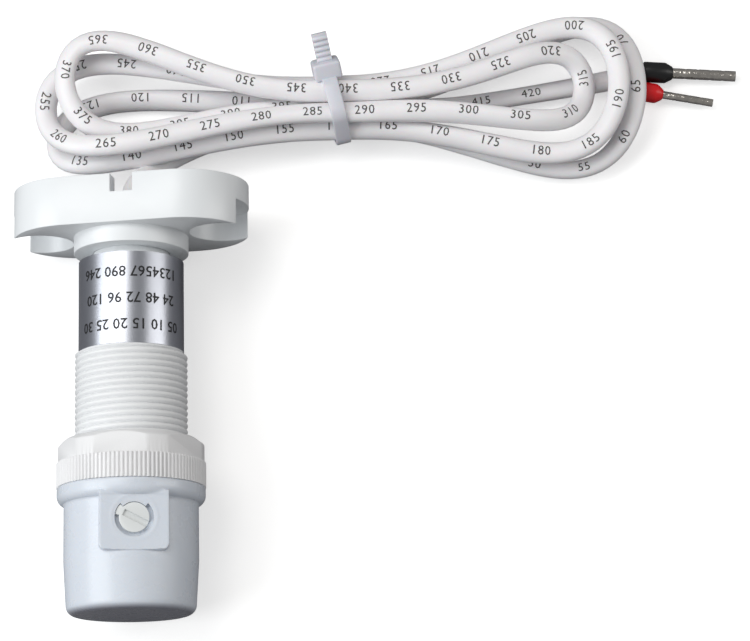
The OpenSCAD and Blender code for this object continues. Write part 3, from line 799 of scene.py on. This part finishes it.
recess_outline = [*arc((0, 0), recess_r, 135, 405, 54), *arc((0, 0), stop_r, 45, 135, 20)]
cap_bm = cut_away(cap_bm, upright(recess_outline, -recess_deep, cut_over))
cap_bm = cut_away(cap_bm, upright(arc((0, 0), stem_r, 0, 350, 35), -stem_deep, 0))
bmesh.ops.transform(cap_bm, matrix=lay_head, verts=cap_bm.verts)
piece("cap", cap_bm, milky_plastic, "head", ["sensor_cap"])

# %% [markdown]
# ## Threaded body
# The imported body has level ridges. The real thread is one right-handed spiral with rounded crests, so here
# one ridge's outline is spun while it moves along the axis by a pitch a turn. A power below one on the
# ridge's sine makes its crest rounder. The spiral's two ends are cut off square, and the plain tube is spun
# inside it.

# %% Thread
thread_pitch = 1 * mm
thread_depth = 0.55 * mm
root_r = crest_r - thread_depth
body_r = crest_r - 0.65 * mm
bore_r = body_r - 1 * mm
tube_bevel = 0.2 * mm
thread_start = label_end + 0.35 * mm
roundness = 0.7
turn_steps = 120
ridge_points = 12
turn_count = math.ceil((tube_end - thread_start) / thread_pitch) + 1
thread_bm = bmesh.new()
ridge = [
    thread_bm.verts.new((
        root_r + thread_depth * math.sin(math.pi * k / ridge_points) ** roundness, 0,
        thread_start + (k / ridge_points - 1) * thread_pitch))
    for k in range(ridge_points + 1)]
ridge_edges = [thread_bm.edges.new(pair) for pair in zip(ridge, ridge[1:])]
bmesh.ops.spin(
    thread_bm, geom=[*ridge, *ridge_edges], cent=(0, 0, 0), axis=(0, 0, 1),
    dvec=(0, 0, thread_pitch / turn_steps), angle=2 * math.pi * turn_count, steps=turn_steps * turn_count)
bmesh.ops.remove_doubles(thread_bm, verts=thread_bm.verts, dist=0.001 * mm)
for place, way in ((thread_start, -1), (tube_end, 1)):
    cut = bmesh.ops.bisect_plane(
        thread_bm, geom=[*thread_bm.verts, *thread_bm.edges, *thread_bm.faces],
        plane_co=(0, 0, place), plane_no=(0, 0, way), clear_outer=True)["geom_cut"]
    rim = [g for g in cut if isinstance(g, bmesh.types.BMEdge)]
    grown = bmesh.ops.extrude_edge_only(thread_bm, edges=rim)["geom"]
    for v in (g for g in grown if isinstance(g, bmesh.types.BMVert)):
        inward = (body_r - tube_bevel / 2) / math.hypot(v.co.x, v.co.y)
        v.co = Vector((v.co.x * inward, v.co.y * inward, v.co.z))
tube_outline = [
    (bore_r, tube_start), (body_r - tube_bevel, tube_start), (body_r, tube_start + tube_bevel),
    (body_r, tube_end), (bore_r, tube_end)]
add_copy(thread_bm, turned(tube_outline, 128))
bmesh.ops.transform(thread_bm, matrix=lay_head, verts=thread_bm.verts)
piece("threaded_body", thread_bm, thread_plastic, "head", ["body_tube"])

# %% [markdown]
# ## Label
# The label is a satin foil round the plain part of the body. It carries three plain rows of numbers, which
# read from the cap's side. A point's distance along its row becomes an angle round the foil.

# %% Label and its numbers
foil_t = 0.1 * mm
label_outline = [
    (body_r, label_start), (body_r + foil_t, label_start), (body_r + foil_t, label_end), (body_r, label_end)]
label_bm = turned(label_outline, 192)
bmesh.ops.transform(label_bm, matrix=lay_head, verts=label_bm.verts)
piece("label", label_bm, label_foil, "head", ["rating_label"])

label_ink = moulded("label ink", hex_colour("1d1d20"), 0.5, 0.2 * mm, 0.002 * mm, 0.1)
label_rows = ["05 10 15 20 25 30", "24 48 72 96 120", "1234567 890 246"]
row_pitch = 4.25 * mm
letter_height = 1.75 * mm
print_r = body_r + foil_t + 0.03 * mm
print_turn = math.radians(4)
rows_bm = bmesh.new()
for k, text in enumerate(label_rows):
    row = cut_by_grid(flat_print(text, letter_height, 0.03 * mm), 0.5 * mm, 2 * mm)
    row_middle = (label_start + label_end) / 2 + (1 - k) * row_pitch
    for v in row.verts:
        angle = v.co.x / print_r + print_turn
        v.co = Vector((-math.sin(angle) * print_r, math.cos(angle) * print_r, row_middle + v.co.y))
    add_copy(rows_bm, row)
bmesh.ops.transform(rows_bm, matrix=lay_head, verts=rows_bm.verts)
piece("label_numbers", rows_bm, label_ink, "head", outward=False)

# %% [markdown]
# ## Moulded edges
# A moulded piece has no knife edges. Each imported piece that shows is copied, its triangles are joined into
# whole faces again, and its sharp edges are rounded, by a width that suits the piece. The lock nut's six
# sides get wider edges than the fine ribs of its flange.


# %% Copies with rounded edges
def whole_faces(node):
    bm = bmesh.new()
    bm.from_mesh(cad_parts[node].data)
    bmesh.ops.remove_doubles(bm, verts=bm.verts, dist=0.001 * mm)
    bmesh.ops.dissolve_limit(bm, angle_limit=math.radians(0.6), verts=bm.verts, edges=bm.edges)
    return bm


def round_edges(bm, width, segments=2, chosen=None):
    edges = [
        e for e in bm.edges
        if e.is_manifold and e.calc_face_angle() > sharp_angle and (chosen is None or chosen(e))]
    bmesh.ops.bevel(
        bm, geom=edges, affect="EDGES", offset_type="OFFSET", offset=width, segments=segments,
        profile=0.5, material=-1, clamp_overlap=True)


softened_nodes = {
    "mounting_base": ("base", 0.35 * mm, white_plastic, "white_plastic"),
    "rear_plug": ("head", 0.2 * mm, white_plastic, "white_plastic"),
    "adjuster_dial": ("dial", 0.1 * mm, dial_plastic, "dial_plastic"),
    "ferrule_sleeve_black": ("base", 0.25 * mm, black_plastic, "black_plastic"),
    "ferrule_sleeve_red": ("base", 0.25 * mm, red_plastic, "red_plastic"),
    "ferrule_pin_black": ("base", 0.1 * mm, tin_plate, "tinned_copper"),
    "ferrule_pin_red": ("base", 0.1 * mm, tin_plate, "tinned_copper")}
for node, (body, width, finish, slot) in softened_nodes.items():
    soft_bm = whole_faces(node)
    round_edges(soft_bm, width, 3)
    piece(node + "_rounded", soft_bm, finish, body, [node])

nut_hex_h = 3.7 * mm
flange_edge_y = mount_y - nut_start - nut_hex_h + 0.2 * mm
nut_bm = whole_faces("lock_nut")
round_edges(nut_bm, 0.3 * mm, 3, lambda e: min(v.co.y for v in e.verts) > flange_edge_y)
round_edges(nut_bm, 0.05 * mm, 1, lambda e: max(v.co.y for v in e.verts) < flange_edge_y)
piece("lock_nut_rounded", nut_bm, nut_plastic, "nut", ["lock_nut"])

# %% [markdown]
# ## Cable tie
# The strap hugs the seven strands, so its path is the hull of a ring of six circles. It stands a little off
# square. The head is a rounded box on the far side, and the cut end of the strap comes out of it with the
# ladder of small ribs that the head's pawl bites into.

# %% Cable tie
tie_middle = Vector((tie_at[0], tie_at[1], bundle_middle)) * mm
tie_turn = math.radians(13)
strap_w = 2.5 * mm
strap_t = tie_thickness * mm
hug_r = lead_width / 2 * mm + 0.1 * mm
hull = []
for k in range(6):
    corner = Vector((strand_pitch * mm, 0)) @ Matrix.Rotation(math.radians(-60 * k), 2)
    hull += arc(corner, hug_r, 60 * k - 30, 60 * k + 30, 8)
tie_bm = bmesh.new()
strap = [tie_bm.verts.new((-strap_w / 2, y, z)) for y, z in hull]
strap_edges = [tie_bm.edges.new(pair) for pair in zip(strap, [*strap[1:], strap[0]])]
grown = bmesh.ops.extrude_edge_only(tie_bm, edges=strap_edges)["geom"]
far_side = [g for g in grown if isinstance(g, bmesh.types.BMVert)]
bmesh.ops.translate(tie_bm, verts=far_side, vec=(strap_w, 0, 0))
bmesh.ops.recalc_face_normals(tie_bm, faces=tie_bm.faces)
bmesh.ops.solidify(tie_bm, geom=tie_bm.faces[:], thickness=-strap_t)
round_edges(tie_bm, 0.22 * mm, 3)

tie_head_up = Matrix.Rotation(math.radians(35), 4, "X")
head_size = (4.6 * mm, 3 * mm, 4.2 * mm)
head_from = tie_inner_r * mm
box_bm = bmesh.new()
bmesh.ops.create_cube(box_bm, size=1, matrix=Matrix.Diagonal((*head_size, 1)))
round_edges(box_bm, 0.5 * mm, 4)
bmesh.ops.translate(box_bm, verts=box_bm.verts, vec=(0, head_from + head_size[1] / 2, 0))

rib_pitch = 0.9 * mm
rib_rise = 0.25 * mm
tail_start = head_from + head_size[1] - 0.3 * mm
tail_end = tail_start + 5 * mm
rib_count = int((tail_end - tail_start) / rib_pitch)
side_view = [(tail_start, -strap_t / 2), (tail_end, -strap_t / 2), (tail_end, strap_t / 2)]
for k in range(rib_count, 0, -1):
    foot = tail_start + k * rib_pitch
    side_view += [(foot, strap_t / 2), (foot - 0.3 * rib_pitch, strap_t / 2 + rib_rise),
                  (foot - 0.6 * rib_pitch, strap_t / 2 + rib_rise), (foot - 0.8 * rib_pitch, strap_t / 2)]
side_view.append((tail_start, strap_t / 2))
tail_bm = bmesh.new()
tail_face = tail_bm.faces.new([tail_bm.verts.new((-strap_w / 2, y, z)) for y, z in side_view])
risen = bmesh.ops.extrude_face_region(tail_bm, geom=[tail_face])["geom"]
far_side = [g for g in risen if isinstance(g, bmesh.types.BMVert)]
bmesh.ops.translate(tail_bm, verts=far_side, vec=(strap_w, 0, 0))
round_edges(tail_bm, 0.07 * mm, 2)
for part_bm in (box_bm, tail_bm):
    bmesh.ops.transform(part_bm, matrix=tie_head_up, verts=part_bm.verts)
    add_copy(tie_bm, part_bm)
bmesh.ops.transform(
    tie_bm, matrix=Matrix.Translation(tie_middle) @ Matrix.Rotation(tie_turn, 4, "Z"), verts=tie_bm.verts)
piece("strap_tie", tie_bm, tie_nylon, "base", ["cable_tie"])

# %% [markdown]
# ## Cores
# Two thin cores leave the sleeve's cut end side by side and each runs into the sleeve of its ferrule.

# %% Cores
core_r = 0.8
core_pitch = 1.85
core_run = 2.4
core_ends = {
    "wire_black": (1, (85, 56.35, 1.75), -4.2, black_plastic, "black_plastic"),
    "wire_red": (-1, (82.8, 53.3, 1.75), -11.2, red_plastic, "red_plastic")}
sleeve_end = Vector(tail_points[-1])
sleeve_way = (sleeve_end - Vector(tail_points[-2])).normalized()
for node, (side, ferrule, turn, finish, slot) in core_ends.items():
    beside = side * core_pitch / 2 * Vector((-sleeve_way.y, sleeve_way.x, 0))
    straight_in = core_run * Vector((math.cos(math.radians(turn)), math.sin(math.radians(turn)), 0))
    bends = [sleeve_end + beside - core_r * sleeve_way, sleeve_end + beside + core_r * sleeve_way,
             Vector(ferrule) - straight_in, Vector(ferrule) + 0.2 * straight_in]
    core_line = [p * mm for p in even_run(smooth_run(bends, 0.3), 0.4)]
    core_frames = places_along(core_line, core_r * mm, core_r * mm, lambda share: 0)
    piece(node + "_rounded", sweep(core_frames, 16), finish, "base", [node])

# %% [markdown]
# ## Floor, world and lamps
# The photograph's background is plain white. The floor looks white to the camera, but it sends little light
# up, so the end of the cap stays dark as in the photograph, together with the painted shade in the cap's
# colour there. A large lamp stands at the left, a second one above and behind, a long narrow one at the
# right, and a weak world fills the rest.

# %% Floor
floor_half = 3
floor_white = (0.8, 0.8, 0.8, 1)
floor_glow = 0.5
floor_dim = (0.2, 0.2, 0.21, 1)
floor_bm = bmesh.new()
bmesh.ops.create_grid(floor_bm, x_segments=1, y_segments=1, size=floor_half)
floor_data = bpy.data.meshes.new("floor")
floor_bm.to_mesh(floor_data)
floor_bm.free()
floor = bpy.data.objects.new("floor", floor_data)
bpy.context.scene.collection.objects.link(floor)


def seen_directly(finish):
    """1 for what the camera sees, also through glass, and 0 for light that bounces."""
    from_camera = finish.node("ShaderNodeLightPath", output="Is Camera Ray")
    through_glass = finish.node("ShaderNodeLightPath", output="Is Transmission Ray")
    return finish.node(
        "ShaderNodeMath", {"operation": "ADD", "use_clamp": True}, {0: from_camera, 1: through_glass})


def floor_material():
    """White with a little light of its own for the camera, and dark grey for light that bounces."""
    finish = Finish("white floor")
    white = finish.node("ShaderNodeBsdfDiffuse", {}, {"Color": floor_white})
    glow = finish.node("ShaderNodeEmission", {}, {"Strength": floor_glow})
    bright = finish.node("ShaderNodeAddShader", {}, {0: white, 1: glow})
    dim = finish.node("ShaderNodeBsdfDiffuse", {}, {"Color": floor_dim})
    shown = finish.node("ShaderNodeMixShader", {}, {0: seen_directly(finish), 1: dim, 2: bright})
    finish.plug(finish.tree.nodes["Material Output"].inputs["Surface"], shown)
    finish.tree.nodes.remove(finish.shader)
    return finish.material


floor_data.materials.append(floor_material())
print("floor:", 2 * floor_half, "m wide")

# %% World
sky_to_pieces = 0.3
sky_to_camera = 1.0


class Sky(Finish):
    """The world's nodes, made in the same way as a material's."""

    def __init__(self, world):
        world.use_nodes = True
        self.tree = world.node_tree
        self.shader = self.tree.nodes["Background"]


world = bpy.data.worlds.new("studio")
bpy.context.scene.world = world
sky = Sky(world)
sky.shader.inputs["Color"].default_value = (1, 1, 1, 1)
strength = sky.node("ShaderNodeMix", {}, {0: seen_directly(sky), 2: sky_to_pieces, 3: sky_to_camera})
sky.plug(sky.shader.inputs["Strength"], strength)
print("world strength:", sky_to_pieces)


# %% Lamps
def soft_lamp(name, place, aim, size, watts, colour=(1, 1, 1)):
    """A rectangular lamp at a place, turned to face the aim, with its long side level."""
    data = bpy.data.lights.new(name, "AREA")
    data.shape = "RECTANGLE"
    data.size, data.size_y = size
    data.energy = watts
    data.color = colour
    lamp = bpy.data.objects.new(name, data)
    lamp.location = place
    lamp.rotation_euler = (Vector(aim) - Vector(place)).to_track_quat("-Z", "Y").to_euler()
    bpy.context.scene.collection.objects.link(lamp)


middle = (0.03, 0.01, 0.01)
soft_lamp("key lamp", (-0.42, -0.05, 0.36), middle, (0.45, 0.4), 2.2, (0.96, 0.985, 1.0))
soft_lamp("top lamp", (-0.16, 0.22, 0.56), middle, (0.3, 0.25), 1.0, (1.0, 0.985, 0.96))
soft_lamp("right lamp", (0.45, 0.08, 0.26), middle, (0.1, 0.4), 0.5, (1.0, 0.985, 0.96))
bpy.context.scene.view_settings.view_transform = "Standard"
print("lamps:", len(bpy.data.lights))
